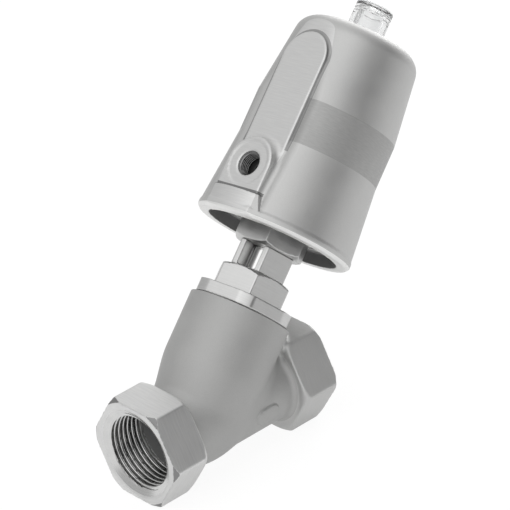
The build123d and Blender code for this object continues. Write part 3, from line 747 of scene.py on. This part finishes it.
def nut_bar(x, y, z):
    """Hexagon with its upper corners turned off and a lip at the top of its bore."""
    off = np.hypot(x, y)
    solid = six_sides(x, y, NUT_FLATS, 45.5, 0.25)
    turned_off = ((off - NUT_TOP_RADIUS) + (z - NUT_TOP) * THIRTY_DEGREES) * 0.5
    solid = meet(solid, turned_off, 0.15)
    solid = meet(solid, between(z, NUT_LOW, NUT_TOP), 0.25)
    threaded = np.maximum(off - NUT_THREAD_RADIUS, z - NUT_LIP_FOOT)
    inside = np.minimum(threaded, off - NUT_LIP_RADIUS)
    return cut(solid, inside, 0.2)


nut = cast_mesh("union_nut_bar", nut_bar, (-17.1, -17.1, 52.6), (17.1, 17.1, 64.2), 0.4, UPRIGHT)
fit_upright(nut, HEX_STEEL, "valve", "machined_steel", "union_nut")


# ---- lantern ----
# The lantern joins the actuator to the union nut. It is hexagon bar with a slot milled right
# through, so that the spindle can be seen, and a collar that the union nut draws down.
LANTERN_FLATS = 22.0
LANTERN_LOW = 63.4
LANTERN_TOP = 74.0
WINDOW_TURN = math.radians(14.5)
WINDOW_HALF = 4.2
WINDOW_SILL = 0.5
COLLAR_RADIUS = 10.4
WAIST_RADIUS = 9.0
STUD_RADIUS = 8.9
ROD_HOLE = 5.6


def lantern_bar(x, y, z):
    """Hexagon bar with a collar below, a stud above and a slot milled across."""
    off = np.hypot(x, y)
    bar = six_sides(x, y, LANTERN_FLATS, 44.5, 0.25)
    solid = meet(bar, between(z, LANTERN_LOW, LANTERN_TOP), 0.3)
    collar = meet(off - COLLAR_RADIUS, between(z, 58.6, 60.9), 0.3)
    waist = np.maximum(off - WAIST_RADIUS, between(z, 59, LANTERN_LOW + 1))
    stud = meet(off - STUD_RADIUS, between(z, LANTERN_TOP - 1, 83.0), 0.4)
    solid = np.minimum(np.minimum(solid, collar), np.minimum(waist, stud))
    across = x * math.sin(WINDOW_TURN) - y * math.cos(WINDOW_TURN)
    slot = meet(np.abs(across) - WINDOW_HALF, LANTERN_LOW + WINDOW_SILL - z, 0.6)
    slot = np.maximum(slot, z - LANTERN_TOP)
    return cut(solid, np.minimum(slot, off - ROD_HOLE), 0.25)


lantern = cast_mesh(
    "lantern_bar", lantern_bar, (-13.7, -13.7, 57.8), (13.7, 13.7, 84.0), 0.4, UPRIGHT
)
fit_upright(lantern, HEX_STEEL, "actuator", "machined_steel", "lantern")


# ---- actuator base ----
# The base closes the bottom of the piston chamber. Its hexagon hub shows below the housing's
# skirt, and a snap ring in the bore holds its plate.
HUB_FLATS = 27.0
HUB_LOW = 74.1
PLATE_LOW = 87.1
PLATE_TOP = 91.6
HUB_FOOT_RADIUS = 13.1
HUB_TOP = 83.1
BASE_COLLAR_RADIUS = 16.0
PLATE_RADIUS = 21.9
RING_GROOVE_RADIUS = 20.0
STUD_HOLE = 9.0
BUSH_RADIUS = 7.0
ROD_SEAL_RADIUS = 7.5


def base_turning(x, y, z):
    """Hexagon hub, collar and round plate, bored for the lantern's stud, the bush and the seal."""
    off = np.hypot(x, y)
    solid = six_sides(x, y, HUB_FLATS, 36.0, 0.25)
    turned_off = ((off - HUB_FOOT_RADIUS) - (z - HUB_LOW) * THIRTY_DEGREES) * 0.5
    solid = meet(solid, turned_off, 0.15)
    solid = meet(solid, between(z, HUB_LOW, HUB_TOP), 0.3)
    collar = np.maximum(off - BASE_COLLAR_RADIUS, between(z, HUB_TOP, PLATE_LOW + 1))
    plate = meet(off - PLATE_RADIUS, between(z, PLATE_LOW, PLATE_TOP), 0.4)
    solid = weld(np.minimum(solid, collar), plate, 0.6)
    ring_groove = np.maximum(RING_GROOVE_RADIUS - off, between(z, 88.15, 90.55))
    for_stud = np.maximum(off - STUD_HOLE, z - HUB_TOP)
    for_bush = np.maximum(off - BUSH_RADIUS, between(z, 84.1, 88.1))
    for_seal = np.maximum(off - ROD_SEAL_RADIUS, between(z, 88.1, 90.6))
    inside = np.minimum(np.minimum(for_stud, for_bush), for_seal)
    inside = np.minimum(np.minimum(inside, off - ROD_HOLE), ring_groove)
    return cut(solid, inside, 0.2)


base = cast_mesh(
    "base_turning", base_turning, (-23.0, -23.0, 73.3), (23.0, 23.0, 92.4), 0.45, UPRIGHT
)
fit_upright(base, HEX_STEEL, "actuator", "machined_steel", "actuator_base")


# ---- indicator cap ----
# The cap is moulded in clear plastic and screwed into the dome. The coloured pin on the piston
# rises inside it when the valve opens. Its bore and the moulding's swirls show through the wall.
CAP_RADIUS = 7.8
CAP_BORE = 4.7
CAP_LOW = 85.1
CAP_TOP = 102.3
CAP_ROOF = 100.5
CAP_ROUNDING = 1.2
ROOF_ROUNDING = 0.8
BEAD_DEPTH = 0.25
CAP_THREAD_RADIUS = 6.9


def cap_outline():
    """Half section of the cap from the foot of its bore, up round the outside and back."""
    corner = []
    for angle in np.linspace(1.57, 0, 7):
        out = CAP_RADIUS - CAP_ROUNDING + CAP_ROUNDING * math.sin(angle)
        corner.append((out, CAP_TOP - CAP_ROUNDING + CAP_ROUNDING * math.cos(angle)))
    roof = []
    for angle in np.linspace(0, 1.57, 5):
        out = CAP_BORE - ROOF_ROUNDING + ROOF_ROUNDING * math.sin(angle)
        roof.append((out, CAP_ROOF - ROOF_ROUNDING + ROOF_ROUNDING * math.cos(angle)))
    foot = [(CAP_BORE, CAP_LOW), (6.5, CAP_LOW), (CAP_THREAD_RADIUS, CAP_LOW + 0.4)]
    foot += [(CAP_THREAD_RADIUS, DOME - 0.02), (7.2, DOME + 0.05)]
    waisted = CAP_RADIUS - BEAD_DEPTH
    beads = [(waisted, DOME + 0.15), (CAP_RADIUS, DOME + 0.4), (CAP_RADIUS, CAP_TOP - 4.4)]
    beads += [(waisted, CAP_TOP - 4.1), (waisted, CAP_TOP - 3.5), (CAP_RADIUS, CAP_TOP - 3.2)]
    return foot + beads + corner + [(0, CAP_TOP)], [(0, CAP_ROOF)] + roof + [(CAP_BORE, CAP_LOW)]


def lathe(name, outline, inner, segments):
    """Closed mesh turned from an outline that starts and ends on the axis or on one ring."""
    profile = outline + inner[:-1]
    shape = bpy.data.meshes.new(name)
    points, rows = [], []
    for radius, height in profile:
        if radius == 0:
            rows.append([len(points)])
            points.append((0, 0, height * MM))
            continue
        row = []
        for turn in range(segments):
            angle = 2 * math.pi * turn / segments
            row.append(len(points))
            out = radius * MM
            points.append((out * math.cos(angle), out * math.sin(angle), height * MM))
        rows.append(row)
    faces = []
    for low, high in zip(rows, rows[1:] + rows[:1]):
        for turn in range(segments):
            after = (turn + 1) % segments
            if len(low) == 1 and len(high) == 1:
                break
            if len(high) == 1:
                faces.append((low[turn], low[after], high[0]))
            elif len(low) == 1:
                faces.append((low[0], high[after], high[turn]))
            else:
                faces.append((low[turn], low[after], high[after], high[turn]))
    shape.from_pydata(points, [], faces)
    shape.polygons.foreach_set("use_smooth", np.ones(len(faces), dtype=bool))
    shape.set_sharp_from_angle(angle=math.radians(35))
    shape.transform(ON_RIM)
    shape.update()
    return placed(name, shape)


cap = lathe("cap_moulding", *cap_outline(), 96)


def clear_plastic():
    """Clear moulded plastic with faint flow lines that also give it a light bump."""
    finish, tree, shader, add, sum_of = nodes_for("clear_moulded_plastic")
    where = about_stem(add, RIM_PLACE)
    settings = {"Vector": where, "Scale": 260.0, "Detail": 2.0, "Distortion": 1.6}
    flow = add("ShaderNodeTexNoise", settings).outputs[0]
    colour = mix_colour(add, flow, (0.90, 0.91, 0.91, 1), (0.98, 0.98, 0.98, 1))
    tree.links.new(colour, shader.inputs["Base Color"])
    tree.links.new(sum_of("MULTIPLY_ADD", flow, 0.05, 0.01), shader.inputs["Roughness"])
    bump = add("ShaderNodeBump", {"Strength": 0.35, "Distance": 0.0002, "Height": flow})
    tree.links.new(bump.outputs[0], shader.inputs["Normal"])
    shader.inputs["Transmission Weight"].default_value = 0.93
    shader.inputs["IOR"].default_value = 1.49
    return finish


cap.data.materials.append(clear_plastic())
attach(cap, "actuator")
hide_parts("indicator_cap")


# ---- main spring ----
# The spring closes the valve. It is cold coiled from round wire, with its two end turns closed
# and ground flat, and it sits between the piston and the collared washer under the dome.
SPRING_RADIUS = 16.5
SPRING_WIRE = 3.5
SPRING_LOW = 109.2
SPRING_HIGH = 162.4
SPRING_TURNS = 7.0


def coil_mesh(name, radius, wire, low, high, turns, segments, round_wire):
    """Wire wound as a spring, its last half turns drawn together and ground square."""
    count = int(turns * segments)
    share = np.linspace(0, 1, count + 1)
    rise = np.clip((share * turns - 0.6) / (turns - 1.2), 0, 1)
    height = low + wire / 2 + rise * (high - low - wire)
    angle = share * turns * 2 * math.pi
    middle = np.stack([radius * np.cos(angle), radius * np.sin(angle), height], 1)
    outward = np.stack([np.cos(angle), np.sin(angle), np.zeros_like(angle)], 1)
    points = []
    for step in range(round_wire):
        way = 2 * math.pi * step / round_wire
        lifted = np.array([0, 0, wire / 2 * math.sin(way)])
        points.append(middle + outward * wire / 2 * math.cos(way) + lifted)
    points = np.stack(points, 1)
    points[:, :, 2] = np.clip(points[:, :, 2], low + wire * 0.06, high - wire * 0.06)
    faces = []
    for row in range(count):
        for step in range(round_wire):
            after = (step + 1) % round_wire
            a, b = row * round_wire + step, row * round_wire + after
            faces.append((a, b, b + round_wire, a + round_wire))
    faces.append(tuple(range(round_wire))[::-1])
    faces.append(tuple(range(count * round_wire, (count + 1) * round_wire)))
    shape = bpy.data.meshes.new(name)
    shape.from_pydata((points.reshape(-1, 3) * MM).tolist(), [], faces)
    shape.polygons.foreach_set("use_smooth", np.ones(len(faces), dtype=bool))
    shape.set_sharp_from_angle(angle=math.radians(45))
    shape.transform(UPRIGHT)
    shape.update()
    return placed(name, shape)


def along_stem_steel(name, light, dark, rough, ridge, depth, metallic=1.0):
    """Metal turned about the leaning stem: feed marks in rings round the stem's own line."""
    finish, tree, shader, add, sum_of = nodes_for(name)
    where = about_stem(add)
    split = add("ShaderNodeSeparateXYZ", {0: where})
    off = length_of(sum_of, split.outputs[0], split.outputs[1])
    rings = add("ShaderNodeCombineXYZ", {0: off, 1: split.outputs[2]}).outputs[0]
    feed = add("ShaderNodeTexNoise", {"Vector": rings, "Scale": ridge, "Detail": 4.0}).outputs[0]
    settings = {"Vector": where, "Scale": 180.0, "Detail": 3.0}
    clouds = add("ShaderNodeTexNoise", settings).outputs[0]
    share = sum_of("MULTIPLY_ADD", feed, 0.6, sum_of("MULTIPLY", clouds, 0.5), clamp=True)
    tree.links.new(mix_colour(add, share, dark, light), shader.inputs["Base Color"])
    tree.links.new(sum_of("MULTIPLY_ADD", feed, 0.12, rough - 0.06), shader.inputs["Roughness"])
    bump = add("ShaderNodeBump", {"Strength": 0.3, "Distance": depth, "Height": feed})
    tree.links.new(bump.outputs[0], shader.inputs["Normal"])
    shader.inputs["Metallic"].default_value = metallic
    return finish


spring = coil_mesh(
    "main_spring_coil",
    SPRING_RADIUS,
    SPRING_WIRE,
    SPRING_LOW,
    SPRING_HIGH,
    SPRING_TURNS,
    segments=72,
    round_wire=16,
)
SPRING_STEEL = along_stem_steel(
    "spring_drawn_wire", (0.56, 0.56, 0.58, 1), (0.38, 0.38, 0.40, 1), 0.34, 900.0, 0.00003
)
fit_upright(spring, SPRING_STEEL, "actuator", "spring_steel", "main_spring")
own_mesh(spring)


# ---- spindle, plug, piston and the plain metal pieces inside ----
# These keep their exact machined shapes. The spindle is ground and polished, the plug, nuts and
# washers are turned stainless, the piston is turned aluminium and the rod bush is bronze.
def dress(finish, *nodes):
    """Gives CAD pieces a finish in place of the plain one they came with."""
    for node in nodes:
        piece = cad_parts[node]
        piece.data.materials.clear()
        piece.data.materials.append(finish)


dress(
    along_stem_steel(
        "spindle_polished_steel", (0.84, 0.84, 0.83, 1), (0.70, 0.70, 0.70, 1), 0.14, 3600.0, 0.000006
    ),
    "spindle",
)
dress(
    along_stem_steel(
        "inner_turned_steel", (0.76, 0.76, 0.75, 1), (0.54, 0.54, 0.54, 1), 0.27, 2400.0, 0.00002
    ),
    "valve_plug",
    "plug_pin",
    "seal_retainer",
    "seal_nut",
    "piston_nut",
    "piston_washer",
    "packing_pressure_ring",
    "gland_bush",
    "spring_seat",
    "retaining_ring",
    "packing_spring",
)
dress(
    along_stem_steel(
        "piston_turned_aluminium", (0.82, 0.83, 0.84, 1), (0.66, 0.67, 0.69, 1), 0.3, 1900.0, 0.00002
    ),
    "piston",
)
dress(
    along_stem_steel(
        "rod_bush_bronze", (0.72, 0.52, 0.28, 1), (0.52, 0.36, 0.18, 1), 0.3, 2400.0, 0.00001
    ),
    "rod_bush",
)


# ---- seals, packing and indicator pin ----
# The chevron packing, gasket, seat seal and guide ring are cut or pressed from white fluoroplastic.
# The rings, wiper and lip seals are moulded black rubber, and the indicator pin is red plastic.
dress(
    along_stem_steel(
        "pressed_fluoroplastic", (0.86, 0.86, 0.83, 1), (0.74, 0.74, 0.71, 1), 0.5, 1300.0, 0.00002, 0.0
    ),
    "packing_v_ring_1",
    "packing_v_ring_2",
    "packing_v_ring_3",
    "packing_v_ring_4",
    "bonnet_gasket",
    "seat_seal",
    "piston_guide_ring",
)
dress(
    along_stem_steel(
        "moulded_black_rubber", (0.045, 0.045, 0.045, 1), (0.02, 0.02, 0.02, 1), 0.55, 700.0, 0.00003, 0.0
    ),
    "spindle_wiper",
    "base_o_ring",
    "rod_seal",
    "cap_o_ring",
    "piston_seal",
)
dress(
    along_stem_steel(
        "indicator_red_plastic", (0.62, 0.04, 0.03, 1), (0.48, 0.02, 0.02, 1), 0.34, 900.0, 0.00001, 0.0
    ),
    "indicator_pin",
)


# ---- studio ----
# The valve stands over a plain pale floor in a pale room that is dimmer on one side, with a large
# soft lamp above and a weaker one behind. The camera looks down on the port side of the actuator
# with a long lens.
LOOK_TURN = math.radians(-41.4)
LOOK_DOWN = math.radians(24.31)
LOOK_ROLL = math.radians(-8.25)
LOOK_ASIDE = 25.28
LOOK_UP = 65.36
LOOK_FROM = 1314.6
LENS_SHARE = 3363.92 / 510

flat_share = math.cos(LOOK_DOWN)
back = Vector((math.sin(LOOK_TURN) * flat_share, -math.cos(LOOK_TURN) * flat_share, math.sin(LOOK_DOWN)))
level = Vector((math.cos(LOOK_TURN), math.sin(LOOK_TURN), 0))
upward = back.cross(level)
picture_right = math.cos(LOOK_ROLL) * level + math.sin(LOOK_ROLL) * upward
picture_up = math.cos(LOOK_ROLL) * upward - math.sin(LOOK_ROLL) * level
aim = Vector((STEM_FOOT, 0, 0)) + LOOK_ASIDE * picture_right + LOOK_UP * picture_up
stand = aim + LOOK_FROM * back
lens = bpy.data.cameras.new("camera")
lens.sensor_width = 36
lens.lens = LENS_SHARE * lens.sensor_width
lens.clip_start = 0.05
lens.clip_end = 20
camera = bpy.data.objects.new("camera", lens)
bpy.context.scene.collection.objects.link(camera)
turned_to = Matrix((picture_right, picture_up, back)).transposed().to_4x4()
camera.matrix_world = Matrix.Translation(stand * MM) @ turned_to
bpy.context.scene.camera = camera

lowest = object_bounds()[0][2]
FLOOR_HALF = 6.0
sheet = bpy.data.meshes.new("floor")
way_round = [(-1, -1), (1, -1), (1, 1), (-1, 1)]
floor_corners = [(FLOOR_HALF * x, FLOOR_HALF * y, lowest) for x, y in way_round]
sheet.from_pydata(floor_corners, [], [(0, 1, 2, 3)])
floor = placed("floor", sheet)
floor_paint, floor_tree, floor_shader, add, sum_of = nodes_for("floor_paint")
floor_shader.inputs["Base Color"].default_value = (0.86, 0.86, 0.86, 1)
floor_shader.inputs["Roughness"].default_value = 0.9
ray = add("ShaderNodeLightPath")
seen = sum_of("MAXIMUM", ray.outputs["Is Camera Ray"], ray.outputs["Is Transmission Ray"])
white = add("ShaderNodeEmission", {"Color": (1, 1, 1, 1), "Strength": 1.08})
mirrored = sum_of("MULTIPLY", ray.outputs["Is Glossy Ray"], 0.45)
whiteness = sum_of("MAXIMUM", sum_of("MULTIPLY", seen, 0.84), mirrored)
parts = {0: whiteness, 1: floor_shader.outputs[0], 2: white.outputs[0]}
blend = add("ShaderNodeMixShader", parts)
floor_tree.links.new(blend.outputs[0], floor_tree.nodes["Material Output"].inputs[0])
floor.data.materials.append(floor_paint)

world = bpy.data.worlds.new("studio")
bpy.context.scene.world = world
world.use_nodes = True
sky = world.node_tree
where = sky.nodes.new("ShaderNodeTexCoord")
split = sky.nodes.new("ShaderNodeSeparateXYZ")
ramp = sky.nodes.new("ShaderNodeValToRGB")
sky.links.new(where.outputs["Generated"], split.inputs[0])
sky.links.new(split.outputs[2], ramp.inputs[0])
ramp.color_ramp.elements[0].position = 0.0
ramp.color_ramp.elements[0].color = (0.62, 0.62, 0.62, 1)
ramp.color_ramp.elements[1].position = 0.9
ramp.color_ramp.elements[1].color = (1, 1, 1, 1)
sky.links.new(ramp.outputs[0], sky.nodes["Background"].inputs[0])
facing = sky.nodes.new("ShaderNodeVectorMath")
facing.operation = "DOT_PRODUCT"
facing.inputs[1].default_value = Vector((0.42, -0.9, 0.08)).normalized()
sky.links.new(where.outputs["Generated"], facing.inputs[0])
dim = sky.nodes.new("ShaderNodeMapRange")
dim.interpolation_type = "SMOOTHSTEP"
DIM_FROM, DIM_TO, BRIGHT_SIDE, DIM_SIDE = 0.35, 1.0, 0.77, 0.1
for number, value in enumerate((DIM_FROM, DIM_TO, BRIGHT_SIDE, DIM_SIDE), start=1):
    dim.inputs[number].default_value = value
sky.links.new(facing.outputs["Value"], dim.inputs[0])
sky.links.new(dim.outputs[0], sky.nodes["Background"].inputs[1])


def soft_lamp(name, place, aim, width, power):
    """Square area lamp at place that shines on aim."""
    lamp = bpy.data.lights.new(name, "AREA")
    lamp.shape = "SQUARE"
    lamp.size = width
    lamp.energy = power
    holder = bpy.data.objects.new(name, lamp)
    bpy.context.scene.collection.objects.link(holder)
    holder.location = place
    holder.rotation_euler = (Vector(aim) - Vector(place)).to_track_quat("-Z", "Y").to_euler()


soft_lamp("lamp_above", (-0.7, -0.5, 1.0), (0.06, 0, 0.06), 1.9, 6.5)
soft_lamp("lamp_side", (1.0, 0.35, 0.35), (0.06, 0, 0.06), 0.6, 3.0)

bpy.context.scene.view_settings.view_transform = "Standard"
